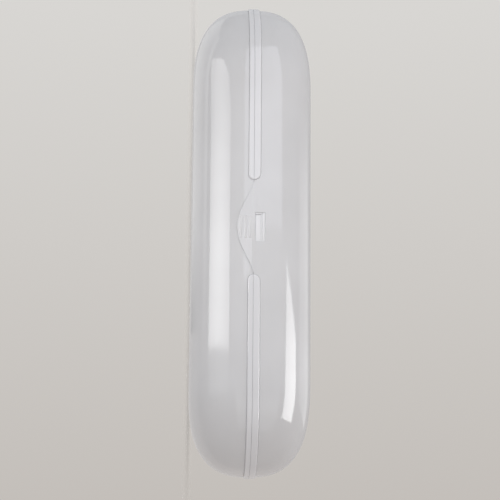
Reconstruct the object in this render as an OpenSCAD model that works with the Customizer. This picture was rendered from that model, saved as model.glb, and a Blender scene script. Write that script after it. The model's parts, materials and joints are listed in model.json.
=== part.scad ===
// Hard glasses case: two milky plastic halves joined by a pinned hinge along the spine.
// X runs along the case, the opening edge faces -Y, the hinge is at +Y, and Z is up.
// Every piece is drawn about the parting plane and the middle of the shells' outline,
// and place() then stands the case on the surface, centred on its own outer box.

/* [Case] */
// Length of the shells from end to end
case_l = 160; // [145:1:175]
// Depth of the shells from the opening edge to the spine
case_d = 62; // [59:1:68]
// Height of each half, from the parting plane to its crown
half_h = 20.2; // [18:0.2:23]
// Wall thickness of both shells
wall = 2.2; // [2:0.1:2.6]
// How far in from the outline the rounding runs before the face is level
edge_run = 28; // [25:0.5:29]
// Squareness of the rounding, where 2 is an ellipse
edge_power = 2.6; // [2.3:0.1:2.9]
// Depth of the flat that the case rests on, taken off the crown of the base
land_cut = 0.15; // [0.1:0.05:0.3]

/* [Rims] */
// Height of the base's raised band, measured from the parting plane
base_band_h = 1.65; // [1.5:0.05:2.2]
// Height of the lid's raised band, measured from the parting plane
lid_band_h = 2.15; // [1.9:0.05:2.4]
// How far the band stands out from the shell
band_proud = 0.45; // [0.3:0.05:0.6]
// Radius on the two outer edges of the band
band_round = 0.4; // [0.1:0.05:0.45]
// Thickness of the frame that fits inside the shell
rim_t = 0.9; // [0.8:0.1:1.4]
// How deep the frame reaches into the shell
rim_depth = 6; // [5.5:0.5:9]
// Open crevice between the band and the shell's edge
crevice = 0.2; // [0.1:0.05:0.3]
// Gap between the two halves at the parting plane
seam_gap = 0.2; // [0.1:0.05:0.3]
// Fitting gap between pieces that don't move against each other
fit = 0.1; // [0.05:0.05:0.15]

/* [Thumb tab] */
// Half of the tab's length along the case
tab_half = 14.3; // [13:0.1:20]
// How far the tab hangs below the parting plane
tab_drop = 5.15; // [4.5:0.05:7]
// Fullness of the tab's outline, where a smaller number is fuller
tab_fullness = 0.65; // [0.5:0.05:1]
// How far the tab stands out from the shell
tab_proud = 0.4; // [0.3:0.05:0.6]
// Thickness of the tab at its root
tab_t = 1.1; // [1:0.05:1.3]
// Height of the tab's root above the parting plane
tab_root = 0.5; // [0.4:0.05:0.5]
// Clearance between the tab and the recess in the base
tab_clear = 0.3; // [0.25:0.05:0.4]
// Distance from the end of the tab to the end of the raised band
tab_margin = 0.7; // [0.4:0.1:2]
// Number of grip ribs on the tab
rib_count = 3; // [1:1:3]
// Distance from one rib to the next
rib_pitch = 1.45; // [1.2:0.05:1.5]
// Distance from the parting plane to the first rib
rib_first = 1.05; // [0.7:0.05:1.1]
// Length of a rib
rib_l = 7.4; // [5:0.2:9]
// Radius of a rib's rounded back
rib_r = 0.4; // [0.3:0.05:0.5]
// How far a rib stands out from the tab
rib_proud = 0.2; // [0.1:0.05:0.25]

/* [Catch] */
// Length of the window in the lid, along the case
window_l = 8; // [7:0.2:11]
// Height of the window
window_h = 1.8; // [1.7:0.05:2.5]
// Height of the window's lower edge above the parting plane
window_z = 0.55; // [0.55:0.05:1]
// Width of the keeper's two legs beside the window
keeper_leg = 0.5; // [0.5:0.1:1.5]
// Height of the keeper's head above the window
keeper_head = 1.25; // [1.15:0.05:1.6]
// How far the keeper's outer face lies back from the shell's face
keeper_back = 0.3; // [0.25:0.05:0.4]
// Thickness of the lid's wall in front of the keeper's flange
catch_wall = 1.3; // [1.2:0.05:1.5]
// How far the keeper's flange reaches past its legs
flange_reach = 1.3; // [1:0.1:2]
// Clearance round the hook, which moves against the lid
hook_clear = 0.35; // [0.3:0.05:0.4]
// Thickness of the hook's tongue
hook_t = 0.85; // [0.8:0.05:1]
// How far the hook's nose stands out from its tongue
hook_nose = 0.3; // [0.2:0.05:0.4]
// How far the hook reaches up behind the keeper's head
hook_over = 0.4; // [0.3:0.05:0.6]
// Depth of the hook's foot in the base
foot_depth = 3.5; // [3:0.1:4.5]
// Thickness of the plate that clips the foot behind the frame
clip_t = 0.65; // [0.5:0.05:1]
// How far that plate reaches past the foot on each side
clip_reach = 1.5; // [1:0.1:3]

/* [Hinge] */
// Outer radius of the knuckles
hinge_r = 2; // [1.9:0.05:2]
// Radius of the steel pins
pin_r = 0.8; // [0.7:0.05:1]
// How far inside the shell's outer face the hinge axis lies
axis_in = 0.25; // [0.2:0.05:0.35]
// Distance from the middle of the case to the middle of each hinge
station_x = 30; // [20:1:34]
// Length of each knuckle of the base
base_knuckle_l = 6; // [4:0.5:7]
// Length of the lid's knuckle between them
lid_knuckle_l = 11.4; // [8:0.2:13]
// Gap between neighbouring knuckles, and round a knuckle in its pocket
knuckle_gap = 0.3; // [0.25:0.05:0.35]
// Running clearance between a pin and the lid's knuckle
pin_run = 0.05; // [0.03:0.01:0.08]
// Clearance between a pin and the base's knuckles, which hold it
pin_hold = 0.01; // [0.01:0.005:0.02]
// How far each end of a pin lies inside its knuckle
pin_short = 0.3; // [0.2:0.1:1]
// How far the lid opens, in degrees
open_angle = 110; // [95:1:115]
// Angle left between the bevelled spine edges when the lid is open
stop_angle = 3; // [2:0.5:6]

/* [Lining] */
// Thickness of the flocked foam lining
lining_t = 1.5; // [1:0.1:2.5]

/* [Hidden] */
$fn = 64;

milky = "#D4D4D8";
lining_grey = "#C9C9CC";
steel = "#9A9CA0";

// Number of straight stretches that draw the quarter rounding and the tab's outline
round_steps = 26;
tab_steps = 24;
// Something longer than any piece, for cutting
far = 2 * case_l;

half_d = case_d / 2;
straight = case_l / 2 - half_d;
frame_in = wall + fit;
frame_back = frame_in + rim_t;
band_stop = tab_half + tab_margin;

hinge_y = half_d - axis_in;
knuckle_step = lid_knuckle_l / 2 + knuckle_gap + base_knuckle_l / 2;
pin_l = lid_knuckle_l + 2 * (knuckle_gap + base_knuckle_l - pin_short);

// Radii about the hinge axis, so that the tab and the hook swing clear
front_r = hinge_y + half_d;
tab_inner_r = front_r + tab_proud - tab_t;
recess_r = tab_inner_r - tab_clear;

window_top = window_z + window_h;
keeper_half = window_l / 2 + keeper_leg;
keeper_top = window_top + keeper_head;
flange_top = keeper_top + flange_reach / 2;
hook_half = window_l / 2 - hook_clear;
hook_top = window_top + hook_over;
flange_bottom = hook_top + hook_clear;
nose_in = catch_wall + hook_clear + fit;
nose_low = max(window_z, seam_gap + hook_nose + fit / 2);
tongue_in = nose_in + hook_nose;
tongue_back = tongue_in + hook_t;

// The outer box, for the origin
front_reach = half_d + max(band_proud, tab_proud + rib_proud);
back_reach = hinge_y + hinge_r;
origin_y = (back_reach - front_reach) / 2;
parting_z = half_h - land_cut;

// How far the outer face has turned inwards at height v from the parting plane
function lean(v) = edge_run * (1 - pow(1 - pow(v / half_h, edge_power), 1 / edge_power));
// A point of the quarter rounding at angle t, and its outward direction
function edge_point(t) = [half_d - edge_run * (1 - pow(cos(t), 2 / edge_power)),
                          half_h * pow(sin(t), 2 / edge_power)];
function edge_slope(t) = [pow(cos(t), 2 - 2 / edge_power) / edge_run,
                          pow(sin(t), 2 - 2 / edge_power) / half_h];
function unit(p) = p / norm(p);
// The rounding moved inwards by a depth, ending on the middle line
function edge_curve(depth) = concat(
    [for (k = [0 : round_steps]) let (t = 90 * k / round_steps)
        edge_point(t) - depth * unit(edge_slope(t))],
    [[0, half_h - depth]]);
function reversed(list) = [for (k = [len(list) - 1 : -1 : 0]) list[k]];
// The tab's lower outline, as a drop below the parting plane
function tab_line(x, reach, drop) = drop * pow((1 + cos(180 * x / reach)) / 2, tab_fullness);

// Half of the wall's section between two depths, from one height to another
module wall_section(outer, inner, low, high) {
    intersection() {
        polygon(concat(edge_curve(outer), reversed(edge_curve(inner))));
        translate([-1, low]) square([case_d, high - low]);
    }
}

// Carries a half section along the straight sides and round both ends of the case
module around_case() {
    for (side = [-1, 1])
        translate([side * straight, 0, 0]) rotate([0, 0, -90 * side])
            rotate_extrude(angle = 180) children();
    rotate([90, 0, 90]) translate([0, 0, -straight]) linear_extrude(2 * straight) {
        children();
        mirror([1, 0]) children();
    }
}

// A prism along X with its outline drawn as [y, z]
module bar_along_x(length) {
    rotate([90, 0, 90]) translate([0, 0, -length / 2]) linear_extrude(length) children();
}

// A box at the opening edge, between two depths from the outer face
module front_box(half_l, depth_a, depth_b, low, high) {
    translate([-half_l, -half_d + depth_a, low]) cube([2 * half_l, depth_b - depth_a, high - low]);
}

// The room that a raised band takes up: it ends in a half round on each side of the tab
module band_room(band_h, grow) {
    rotate([90, 0, 0]) linear_extrude(far) for (side = [-1, 1]) {
        translate([side * (band_stop + band_h), 0]) circle(r = band_h + grow);
        translate([side * (far + band_stop + band_h) / 2, 0])
            square([far - band_stop - band_h, 2 * (band_h + grow)], center = true);
    }
    translate([-far / 2, 0, -band_h - grow]) cube([far, far, 2 * (band_h + grow)]);
}

// One half of the case without its details, drawn above the parting plane
module half_shell(band_h) {
    difference() {
        around_case() wall_section(0, wall, seam_gap / 2, half_h);
        band_room(band_h, crevice);
    }
}

// Section of the raised band, with its two outer edges rounded
module band_section(band_h) {
    low = seam_gap / 2;
    out = half_d + band_proud;
    translate([half_d - frame_back, low]) square([frame_back + band_proud - band_round, band_h - low]);
    translate([half_d, low + band_round]) square([band_proud, band_h - low - 2 * band_round]);
    for (v = [low + band_round, band_h - band_round])
        translate([out - band_round, v]) circle(r = band_round);
}

// The frame of one half, drawn above the parting plane, without knuckles
module half_rim(band_h) {
    difference() {
        union() {
            intersection() {
                around_case() band_section(band_h);
                band_room(band_h, 0);
            }
            around_case() wall_section(frame_in, frame_back, seam_gap / 2, rim_depth);
        }
        spine_bevel();
    }
}

// The spine edges are bevelled behind the axis and meet when the lid is fully open
module spine_bevel() {
    run = 2 * hinge_r;
    rise = run * tan((open_angle + stop_angle) / 2);
    translate([0, hinge_y, 0]) bar_along_x(far) polygon([[0, 0], [run, rise], [run, -rise]]);
}

module half_lining() {
    around_case() wall_section(frame_in, frame_in + lining_t, rim_depth + fit, half_h);
}

// A round bar on the hinge axis, centred at x
module on_axis(x, radius, length) {
    translate([x - length / 2, hinge_y, 0]) rotate([0, 90, 0]) cylinder(r = radius, h = length);
}

module base_knuckles(grow) {
    for (side = [-1, 1], end = [-1, 1])
        on_axis(side * station_x + end * knuckle_step, hinge_r + grow, base_knuckle_l + 2 * grow);
}

module lid_knuckles(grow) {
    for (side = [-1, 1])
        on_axis(side * station_x, hinge_r + grow, lid_knuckle_l + 2 * grow);
}

module pin_bores(clearance) {
    for (side = [-1, 1])
        on_axis(side * station_x, pin_r + clearance, pin_l + 4 * base_knuckle_l);
}

// Outline of the tab from its root down, as [x, z], with a clearance added all round
module tab_outline(grow) {
    reach = tab_half + 2 * grow;
    drop = tab_drop + grow;
    polygon(concat(
        [[reach, tab_root], [-reach, tab_root]],
        [for (k = [0 : tab_steps]) let (x = reach * (2 * k / tab_steps - 1))
            [x, -grow - tab_line(x, reach, drop - grow)]]));
}

module tab_prism(grow) {
    rotate([90, 0, 0]) linear_extrude(far) tab_outline(grow);
}

module swing_cylinder(radius) {
    translate([-case_l / 2, hinge_y, 0]) rotate([0, 90, 0]) cylinder(r = radius, h = case_l);
}

// One grip rib: a half-sunk round bar with round ends, at a drop below the parting plane
module grip_rib(drop) {
    half_l = rib_l / 2 - rib_r;
    y = -half_d - tab_proud + lean(drop) + rib_r - rib_proud;
    translate([0, y, -drop]) {
        translate([-half_l, 0, 0]) rotate([0, 90, 0]) cylinder(r = rib_r, h = 2 * half_l);
        for (side = [-1, 1]) translate([side * half_l, 0, 0]) sphere(r = rib_r);
    }
}

module tab() {
    difference() {
        union() {
            intersection() {
                bar_along_x(2 * tab_half) for (up = [0, 1]) mirror([0, up]) mirror([1, 0])
                    wall_section(-tab_proud, wall, 0, half_h / 2);
                tab_prism(0);
            }
            for (k = [0 : rib_count - 1]) grip_rib(rib_first + k * rib_pitch);
        }
        swing_cylinder(tab_inner_r);
    }
}

// Stands the case on the surface, centred on its outer box
module place() {
    translate([0, -origin_y, parting_z]) children();
}

module base_shell() {
    color(milky) place() difference() {
        mirror([0, 0, 1]) half_shell(base_band_h);
        base_knuckles(fit);
        lid_knuckles(knuckle_gap);
        difference() {
            tab_prism(tab_clear);
            swing_cylinder(recess_r);
        }
        translate([-far / 2, -far / 2, -parting_z - far]) cube(far);
    }
}

module base_rim() {
    color(milky) place() difference() {
        union() {
            difference() {
                mirror([0, 0, 1]) half_rim(base_band_h);
                lid_knuckles(knuckle_gap);
                front_box(hook_half + fit, frame_in - fit, frame_back + 1, -foot_depth - fit, 1);
            }
            base_knuckles(0);
        }
        pin_bores(pin_hold);
    }
}

module base_lining() {
    color(lining_grey) place() mirror([0, 0, 1]) half_lining();
}

// The snap hook: a foot in the base's frame, a clip behind it and a tongue with a nose
module catch_hook() {
    foot_in = frame_in + lean(foot_depth);
    clip_in = frame_back + lean(foot_depth) + fit;
    color(milky) place() {
        bar_along_x(2 * hook_half) translate([-half_d, 0]) polygon([
            [foot_in, -foot_depth], [clip_in, -foot_depth], [clip_in, -seam_gap],
            [tongue_back, seam_gap], [tongue_back, hook_top], [tongue_in, hook_top],
            [nose_in, hook_top - hook_nose], [nose_in, nose_low], [tongue_in, nose_low - hook_nose],
            [tongue_in, seam_gap], [foot_in, -seam_gap]]);
        front_box(hook_half + clip_reach, clip_in, clip_in + clip_t, -foot_depth, -seam_gap);
    }
}

module hinge_pin(side) {
    color(steel) place() on_axis(side * station_x, pin_r, pin_l);
}

module hinge_pin_left() { hinge_pin(-1); }

module hinge_pin_right() { hinge_pin(1); }

module lid_shell() {
    color(milky) place() {
        difference() {
            union() {
                half_shell(lid_band_h);
                tab();
            }
            lid_knuckles(fit);
            base_knuckles(knuckle_gap);
            front_box(keeper_half + fit, -1, wall + 1, window_z, keeper_top + fit);
            front_box(keeper_half + flange_reach + fit, catch_wall, wall + 1, -tab_drop, flange_top + fit);
        }
    }
}

module lid_rim() {
    color(milky) place() difference() {
        union() {
            difference() {
                half_rim(lid_band_h);
                base_knuckles(knuckle_gap);
                front_box(hook_half + hook_clear, 0, frame_back + 1, -1, hook_top + hook_clear);
            }
            lid_knuckles(0);
        }
        pin_bores(pin_run);
    }
}

module lid_lining() {
    color(lining_grey) place() half_lining();
}

// The keeper: a frame on three sides of the window, held by a flange behind the wall
module keeper() {
    flange_in = catch_wall + fit;
    color(milky) place() difference() {
        union() {
            front_box(keeper_half, keeper_back, flange_in, window_z + fit, keeper_top);
            front_box(keeper_half + flange_reach, flange_in, wall - fit, flange_bottom, flange_top);
        }
        front_box(window_l / 2, 0, flange_in, 0, window_top);
    }
}

base_shell();
base_rim();
base_lining();
catch_hook();
hinge_pin_left();
hinge_pin_right();
lid_shell();
lid_rim();
lid_lining();
keeper();
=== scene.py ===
"""Looks of a hard glasses case: two milky plastic halves on a pinned spine hinge.

Every piece is drawn in millimetres about the parting plane and the middle of the shells' outline,
with X along the case, the opening edge at -Y and the lid at +Z. It is then stood in the shared frame.
"""

import json
import logging
import math
from collections.abc import Callable, Sequence
from dataclasses import dataclass, field
from enum import Enum

import bmesh
import bpy
from mathutils import Matrix, Vector


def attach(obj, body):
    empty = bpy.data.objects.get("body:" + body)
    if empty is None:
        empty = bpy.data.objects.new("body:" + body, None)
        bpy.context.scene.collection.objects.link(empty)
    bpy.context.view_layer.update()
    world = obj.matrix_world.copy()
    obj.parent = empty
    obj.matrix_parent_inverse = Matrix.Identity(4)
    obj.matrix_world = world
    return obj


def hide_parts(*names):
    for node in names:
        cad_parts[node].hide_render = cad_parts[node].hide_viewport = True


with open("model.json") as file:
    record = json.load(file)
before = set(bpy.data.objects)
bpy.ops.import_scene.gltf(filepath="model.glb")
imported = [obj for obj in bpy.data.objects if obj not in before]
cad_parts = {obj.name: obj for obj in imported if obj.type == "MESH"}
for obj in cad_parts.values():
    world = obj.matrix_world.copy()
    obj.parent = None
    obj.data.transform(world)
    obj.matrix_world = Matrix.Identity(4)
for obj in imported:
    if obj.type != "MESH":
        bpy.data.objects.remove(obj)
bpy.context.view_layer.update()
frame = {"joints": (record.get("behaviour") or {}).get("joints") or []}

log = logging.getLogger("glasses_case")

METRES_PER_MM = 0.001
# How far a cutter reaches past the case, in millimetres
FAR = 400.0
# Points nearer to each other than this become one, after drawing and after a cut
MERGE = 0.002
FINE_MERGE = 0.0005
# A point nearer to a plane than this lies on it
ON_PLANE = 0.001
# How far the tools of one cut reach into each other
OVERLAP = 1.0
# Strips round a half round end of a band
BAND_END_STEPS = 32
# Edges that turn more than the first can be rounded, and those under the second are shaded smooth
SHARP = math.radians(35)
SMOOTH = math.radians(28)

Flat = tuple[float, float]
Colour = tuple[float, float, float, float]
Piece = bpy.types.Object
MeshPart = bmesh.types.BMVert | bmesh.types.BMEdge
PointTest = Callable[[Vector], bool]


class Half(Enum):
    """Which half of the case a piece belongs to."""

    BASE = "base"
    LID = "lid"

    @property
    def up(self) -> int:
        """Returns 1 where the half lies above the parting plane and -1 where it lies below."""
        return 1 if self is Half.LID else -1

    @property
    def other(self) -> "Half":
        """Returns the half on the other side of the parting plane."""
        return Half.BASE if self is Half.LID else Half.LID


class Joining(Enum):
    """How a tool shape is combined with a piece."""

    CUT = "DIFFERENCE"
    ADD = "UNION"


class Slot(Enum):
    """The record's material slots."""

    SHELL = "shell"
    RIM = "rim"
    CATCH = "catch"
    LINING = "lining"
    PIN = "pin"


@dataclass(frozen=True)
class CaseSizes:
    """Sizes that several pieces share, in millimetres.

    Heights are measured from the parting plane, and depths inwards from the shells' outer face.
    The outer face is a superellipse, edge_run wide and half_height high, with a level land on top.
    """

    length: float = 160.0
    depth: float = 62.0
    half_height: float = 20.2
    wall: float = 2.2
    edge_run: float = 28.0
    edge_power: float = 2.6
    land_cut: float = 0.15
    base_band_h: float = 1.65
    lid_band_h: float = 2.15
    band_proud: float = 0.45
    crevice: float = 0.021
    seam: float = 0.012
    fit: float = 0.02
    frame_thickness: float = 0.9
    frame_depth: float = 6.0
    tab_half: float = 14.3
    tab_margin: float = 0.7
    hinge_radius: float = 2.0
    pin_radius: float = 0.8
    axis_in: float = 0.25
    station_x: float = 30.0
    base_knuckle_l: float = 6.0
    lid_knuckle_l: float = 11.4
    knuckle_gap: float = 0.3
    stop_angle: float = 56.5
    least_step: float = 0.05

    @property
    def half_depth(self) -> float:
        """Returns the distance from the long axis to the opening edge."""
        return self.depth / 2

    @property
    def straight(self) -> float:
        """Returns half of the length of the straight sides."""
        return self.length / 2 - self.half_depth

    @property
    def frame_in(self) -> float:
        """Returns the depth of the frame's outer face."""
        return self.wall + self.fit

    @property
    def frame_back(self) -> float:
        """Returns the depth of the frame's inner face."""
        return self.frame_in + self.frame_thickness

    @property
    def band_stop(self) -> float:
        """Returns where the raised bands end beside the tab."""
        return self.tab_half + self.tab_margin

    @property
    def hinge_y(self) -> float:
        """Returns where the hinge axis lies behind the long axis."""
        return self.half_depth - self.axis_in

    @property
    def knuckle_step(self) -> float:
        """Returns the distance between the middles of neighbouring knuckles."""
        return self.lid_knuckle_l / 2 + self.knuckle_gap + self.base_knuckle_l / 2

    def band_height(self, half: Half) -> float:
        """Returns the height of one half's raised band."""
        return self.lid_band_h if half is Half.LID else self.base_band_h

    def lean(self, height: float) -> float:
        """Returns how far the outer face has turned inwards at a height."""
        share = abs(height) / self.half_height
        return self.edge_run * (1 - (1 - share**self.edge_power) ** (1 / self.edge_power))

    def edge_point(self, slope: float, depth: float) -> Flat:
        """Finds a point of the rounded section by the direction that its surface faces.

        Args:
            slope: Direction of the outward normal in degrees, 0 at the parting plane, 90 at the crown.
            depth: Distance inwards from the outer face.

        Returns:
            The distance from the long axis and the height.
        """
        if slope >= 90:
            return self.half_depth - self.edge_run, self.half_height - depth
        turn = math.radians(slope)
        power = self.edge_power
        ratio = (math.tan(turn) * (self.half_height / self.edge_run) ** power) ** (1 / (power - 1))
        across = (1 + (ratio * self.edge_run / self.half_height) ** power) ** (-1 / power)
        across *= self.edge_run
        out = self.half_depth - self.edge_run + across - depth * math.cos(turn)
        return out, ratio * across - depth * math.sin(turn)

    def rounding(self, depth: float, low: float, step: float) -> list[Flat]:
        """Draws the section from a height up to the crown and on to the long axis.

        Args:
            depth: Distance inwards from the outer face.
            low: Height at which the line starts.
            step: Turn from one point to the next, in degrees.

        Returns:
            Points as distance from the long axis and height.
        """
        points = [(self.half_depth - depth - self.lean(low), low)]
        for index in range(1, round(90 / step) + 1):
            point = self.edge_point(index * step, depth)
            if point[1] > low + self.least_step:
                points.append(point)
        points.append((0.0, self.half_height - depth))
        return points


SIZES = CaseSizes()
# Where the hinge axis and the middle of the drawing lie in the shared frame, in metres
HINGE_PLACE = Vector(frame["joints"][0]["pos_m"])
STAND = HINGE_PLACE - Vector((0.0, SIZES.hinge_y * METRES_PER_MM, 0.0))


def deselect() -> None:
    """Leaves edit mode and deselects everything."""
    if bpy.context.mode != "OBJECT":
        bpy.ops.object.mode_set(mode="OBJECT")
    bpy.ops.object.select_all(action="DESELECT")


def pick(piece: Piece) -> None:
    """Selects one piece alone and makes it the active one.

    Args:
        piece: The object to select.
    """
    deselect()
    piece.select_set(True)
    bpy.context.view_layer.objects.active = piece


def name_piece(name: str) -> Piece:
    """Names the object that an operator has just added.

    Args:
        name: Its name, which its mesh gets too.

    Returns:
        The object.
    """
    piece = bpy.context.object
    piece.name = name
    piece.data.name = name
    return piece


def select_parts(piece: Piece, kind: str, test: Callable[[MeshPart], bool]) -> None:
    """Selects the points or edges of a piece that pass a test, and nothing else.

    Args:
        piece: The object, in edit mode.
        kind: VERT for points or EDGE for edges.
        test: Says of a point or an edge whether it is selected.
    """
    bpy.ops.mesh.select_mode(type=kind)
    bpy.ops.mesh.select_all(action="DESELECT")
    mesh = bmesh.from_edit_mesh(piece.data)
    for part in mesh.verts if kind == "VERT" else mesh.edges:
        part.select = test(part)
    mesh.select_flush_mode()
    bmesh.update_edit_mesh(piece.data)


def draw_line(name: str, points: Sequence[Vector], closed: bool = False) -> Piece:
    """Draws a line of edges, starting from a plane that is merged into one point.

    Args:
        name: Name of the new object.
        points: Places of its points.
        closed: Whether the last point is joined to the first one.

    Returns:
        The new object, left in edit mode.
    """
    deselect()
    bpy.ops.mesh.primitive_plane_add(size=1)
    piece = name_piece(name)
    bpy.ops.object.mode_set(mode="EDIT")
    bpy.ops.mesh.merge(type="CENTER")
    bpy.ops.transform.translate(value=points[0])
    for start, end in zip(points, points[1:]):
        bpy.ops.mesh.extrude_region_move(TRANSFORM_OT_translate={"value": end - start})
    if closed:
        select_parts(piece, "VERT", lambda vert: len(vert.link_edges) == 1)
        bpy.ops.mesh.edge_face_add()
    return piece


def tidy_up(piece: Piece, distance: float = MERGE) -> None:
    """Merges doubles and turns all faces outwards, then goes back to object mode.

    Args:
        piece: The object to work on.
        distance: Points nearer to each other than this become one.
    """
    pick(piece)
    bpy.ops.object.mode_set(mode="EDIT")
    bpy.ops.mesh.select_all(action="SELECT")
    bpy.ops.mesh.remove_doubles(threshold=distance)
    bpy.ops.mesh.normals_make_consistent(inside=False)
    bpy.ops.object.mode_set(mode="OBJECT")


def draw_out(name: str, outline: Sequence[Vector], way: Sequence[float]) -> Piece:
    """Fills an outline and draws it out along a direction, which makes a closed solid.

    Args:
        name: Name of the new object.
        outline: Corners of the flat face that is drawn out.
        way: How far it is drawn out along X, Y and Z.

    Returns:
        The new solid.
    """
    piece = draw_line(name, outline, closed=True)
    bpy.ops.mesh.select_all(action="SELECT")
    bpy.ops.mesh.edge_face_add()
    bpy.ops.mesh.extrude_region_move(TRANSFORM_OT_translate={"value": way})
    tidy_up(piece)
    return piece


def prism(name: str, outline: Sequence[Flat], low: float, high: float) -> Piece:
    """Makes a prism along Y between two depths, from its outline as X and Z."""
    return draw_out(name, [Vector((x, low, z)) for x, z in outline], (0, high - low, 0))


def bar(name: str, outline: Sequence[Flat], half_length: float) -> Piece:
    """Makes a bar along X, centred on X 0, from its outline as Y and Z."""
    return draw_out(name, [Vector((-half_length, y, z)) for y, z in outline], (2 * half_length, 0, 0))


def block(name: str, low: Sequence[float], high: Sequence[float]) -> Piece:
    """Makes a block between two corners.

    Args:
        name: Name of the new object.
        low: The corner with the lowest X, Y and Z.
        high: The corner with the highest X, Y and Z.

    Returns:
        The new block.
    """
    deselect()
    bpy.ops.mesh.primitive_cube_add(size=1)
    piece = name_piece(name)
    bpy.ops.object.mode_set(mode="EDIT")
    bpy.ops.transform.resize(value=Vector(high) - Vector(low))
    bpy.ops.transform.translate(value=(Vector(low) + Vector(high)) / 2)
    bpy.ops.object.mode_set(mode="OBJECT")
    return piece


def on_axis(name: str, x: float, radius: float, length: float, sides: int = 64) -> Piece:
    """Makes a round bar on the hinge axis.

    Args:
        name: Name of the new object.
        x: Where its middle lies along X.
        radius: Its radius.
        length: Its length along X.
        sides: Number of faces round it.

    Returns:
        The new bar.
    """
    deselect()
    place = (x, SIZES.hinge_y, 0)
    bpy.ops.mesh.primitive_cylinder_add(
        vertices=sides, radius=radius, depth=length, location=place, rotation=(0, math.pi / 2, 0)
    )
    piece = name_piece(name)
    bpy.ops.object.transform_apply(location=True, rotation=True, scale=True)
    return piece


def combine(piece: Piece, tools: Sequence[Piece], how: Joining) -> None:
    """Cuts the space of the tools out of a piece or adds it, and removes the tools.

    Args:
        piece: The object that is changed.
        tools: The shapes to combine it with.
        how: What is done with their space.
    """
    group = bpy.data.collections.new("tools")
    for tool in tools:
        group.objects.link(tool)
    pick(piece)
    modifier = piece.modifiers.new("combine", "BOOLEAN")
    modifier.operation = how.value
    modifier.solver = "MANIFOLD"
    modifier.show_viewport = False
    modifier.operand_type = "COLLECTION"
    modifier.collection = group
    bpy.ops.object.modifier_apply(modifier=modifier.name)
    bpy.data.collections.remove(group)
    for tool in tools:
        bpy.data.objects.remove(tool)


def shift(piece: Piece, test: PointTest, way: Sequence[float]) -> None:
    """Moves the points of a piece that pass a test.

    Args:
        piece: The object to work on.
        test: Says of a point's place whether it is moved.
        way: How far it is moved along X, Y and Z.
    """
    pick(piece)
    bpy.ops.object.mode_set(mode="EDIT")
    select_parts(piece, "VERT", lambda vert: test(vert.co))
    bpy.ops.transform.translate(value=way)
    bpy.ops.object.mode_set(mode="OBJECT")


def round_edges(piece: Piece, test: PointTest, width: float, segments: int = 3) -> None:
    """Rounds the sharp edges whose middles pass a test.

    Args:
        piece: The object to work on.
        test: Says of an edge's middle whether the edge is rounded.
        width: Width of the rounding.
        segments: Number of strips across it.
    """

    def is_rounded(edge: bmesh.types.BMEdge) -> bool:
        """Says whether an edge is sharp and its middle passes the test."""
        sharp = len(edge.link_faces) == 2 and edge.calc_face_angle() > SHARP
        return sharp and test((edge.verts[0].co + edge.verts[1].co) / 2)

    pick(piece)
    bpy.ops.object.mode_set(mode="EDIT")
    select_parts(piece, "EDGE", is_rounded)
    bpy.ops.mesh.bevel(
        offset=width, segments=segments, profile=0.5, affect="EDGES", clamp_overlap=False
    )
    bpy.ops.mesh.select_mode(type="VERT")
    bpy.ops.object.mode_set(mode="OBJECT")


def carry_round(piece: Piece, steps: int = 112, straight_parts: int = 7) -> None:
    """Carries a section drawn at the front round the whole case.

    The section is spun round one end, drawn out along the straight sides to the middle and mirrored.

    Args:
        piece: The section, in edit mode, drawn at X 0 with the opening edge at -Y.
        steps: Number of steps round the end.
        straight_parts: Number of lengths along the straight side.
    """

    def is_open_end(edge: bmesh.types.BMEdge) -> bool:
        """Says whether an edge lies on the open end where the straight sides begin."""
        at_end = all(abs(vert.co.x - SIZES.straight) < ON_PLANE for vert in edge.verts)
        return edge.is_boundary and at_end

    bpy.ops.mesh.select_all(action="SELECT")
    bpy.ops.mesh.spin(steps=steps, angle=math.pi, center=(0, 0, 0), axis=(0, 0, -1))
    bpy.ops.mesh.select_all(action="SELECT")
    bpy.ops.transform.translate(value=(SIZES.straight, 0, 0))
    bpy.ops.mesh.remove_doubles(threshold=MERGE)
    select_parts(piece, "EDGE", is_open_end)
    part = (-SIZES.straight / straight_parts, 0, 0)
    for _ in range(straight_parts):
        bpy.ops.mesh.extrude_region_move(TRANSFORM_OT_translate={"value": part})
    bpy.ops.mesh.select_mode(type="VERT")
    tidy_up(piece)
    modifier = piece.modifiers.new("other end", "MIRROR")
    modifier.merge_threshold = MERGE
    bpy.ops.object.modifier_apply(modifier=modifier.name)
    tidy_up(piece)


def section(half: Half, points: Sequence[Flat]) -> list[Vector]:
    """Stands a section at the opening edge, above or below the parting plane."""
    return [Vector((0.0, -out, half.up * height)) for out, height in points]


def arc(start: float, end: float, steps: int) -> list[float]:
    """Returns angles in radians, in equal steps from a start to an end given in degrees."""
    return [math.radians(start + (end - start) * k / steps) for k in range(steps + 1)]


def band_room(half: Half, grow: float) -> list[Piece]:
    """Makes the room that a raised band takes up, with a half round end on each side of the tab.

    Args:
        half: The half that carries the band.
        grow: Clearance added all round the band.

    Returns:
        The shapes that fill the room.
    """
    height = SIZES.band_height(half)
    reach = height + grow
    tools = []
    for side in (-1, 1):
        middle = side * (SIZES.band_stop + height)
        turns = arc(90, 270, BAND_END_STEPS)
        outline = [(middle + side * reach * math.cos(a), reach * math.sin(a)) for a in turns]
        outline += [(side * FAR, -reach), (side * FAR, reach)]
        tools.append(prism("band_room", outline, -FAR, OVERLAP))
    tools.append(block("band_room_back", (-FAR, 0, -reach), (FAR, FAR, reach)))
    return tools


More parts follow.
